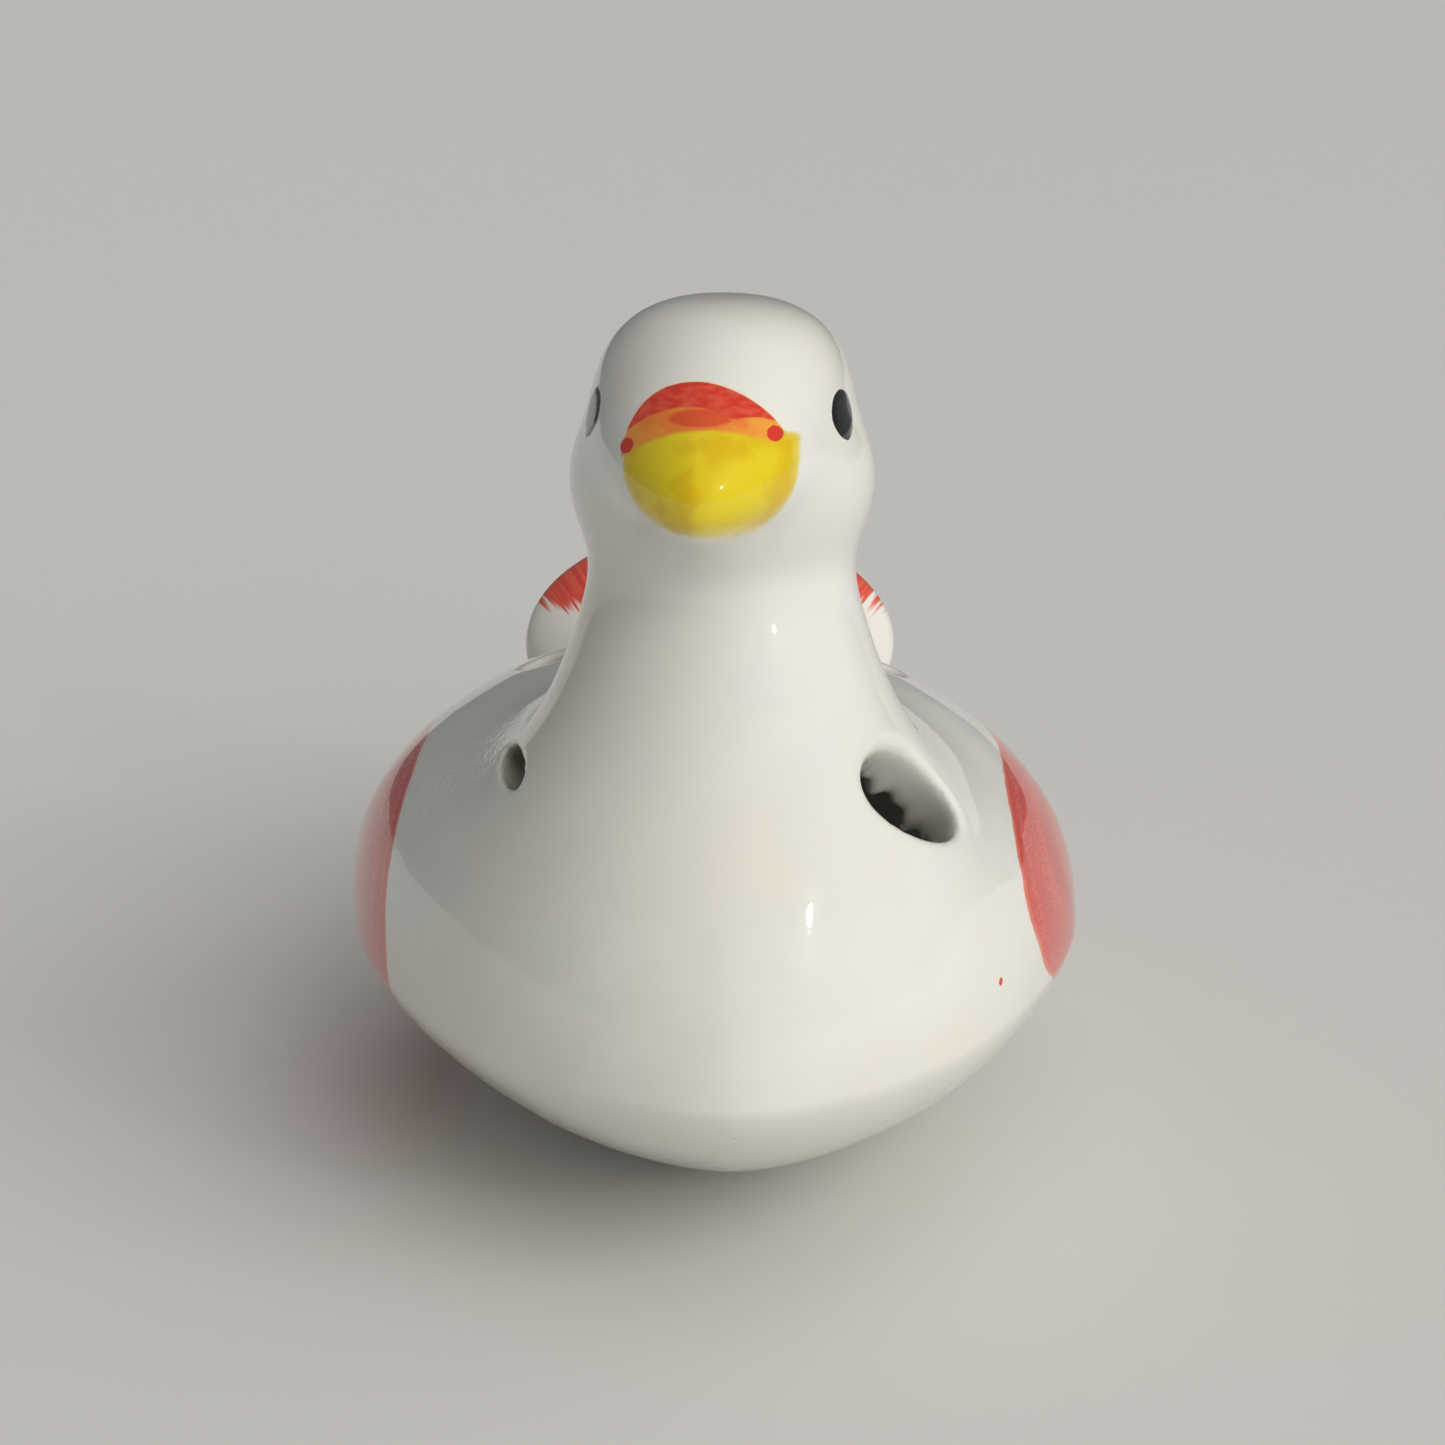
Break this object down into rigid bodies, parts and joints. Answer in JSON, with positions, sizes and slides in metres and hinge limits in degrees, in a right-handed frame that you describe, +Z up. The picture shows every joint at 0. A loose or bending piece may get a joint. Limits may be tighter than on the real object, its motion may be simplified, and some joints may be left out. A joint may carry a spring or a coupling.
{
  "type": "ocarina",
  "caption": "Hollow glazed ceramic duck ocarina with painted bill, wings and tail, blown through the upturned tail, with round finger holes in the shoulders and back.",
  "frame": {"origin": "on the surface it stands on, under the middle of the whole duck's bounding box", "axes": "+Z up, -Y the way the duck faces, +X the duck's left"},
  "size_m": [0.0634, 0.0967, 0.0741],
  "materials": {
    "left_body_shell": "clear glossy glaze over warm white clay, red wing painted under the glaze",
    "right_body_shell": "clear glossy glaze over warm white clay, red wing painted under the glaze",
    "left_head_shell": "clear glossy glaze over warm white clay, black painted eye",
    "right_head_shell": "clear glossy glaze over warm white clay, black painted eye",
    "bill": "watery yellow, orange and red brush colour under clear glaze",
    "tail_mouthpiece_roof": "red brush strokes over white under clear glaze",
    "tail_mouthpiece_floor": "red brush strokes over white under clear glaze",
    "voicing_edge": "thin clear glaze over clay"
  },
  "bodies": {
    "root": {"left_body_shell": "left_body_shell", "right_body_shell": "right_body_shell", "left_head_shell": "left_head_shell", "right_head_shell": "right_head_shell", "bill": "bill", "tail_mouthpiece_roof": "tail_mouthpiece_roof", "tail_mouthpiece_floor": "tail_mouthpiece_floor", "voicing_edge": "voicing_edge"}
  },
  "joints": []
}
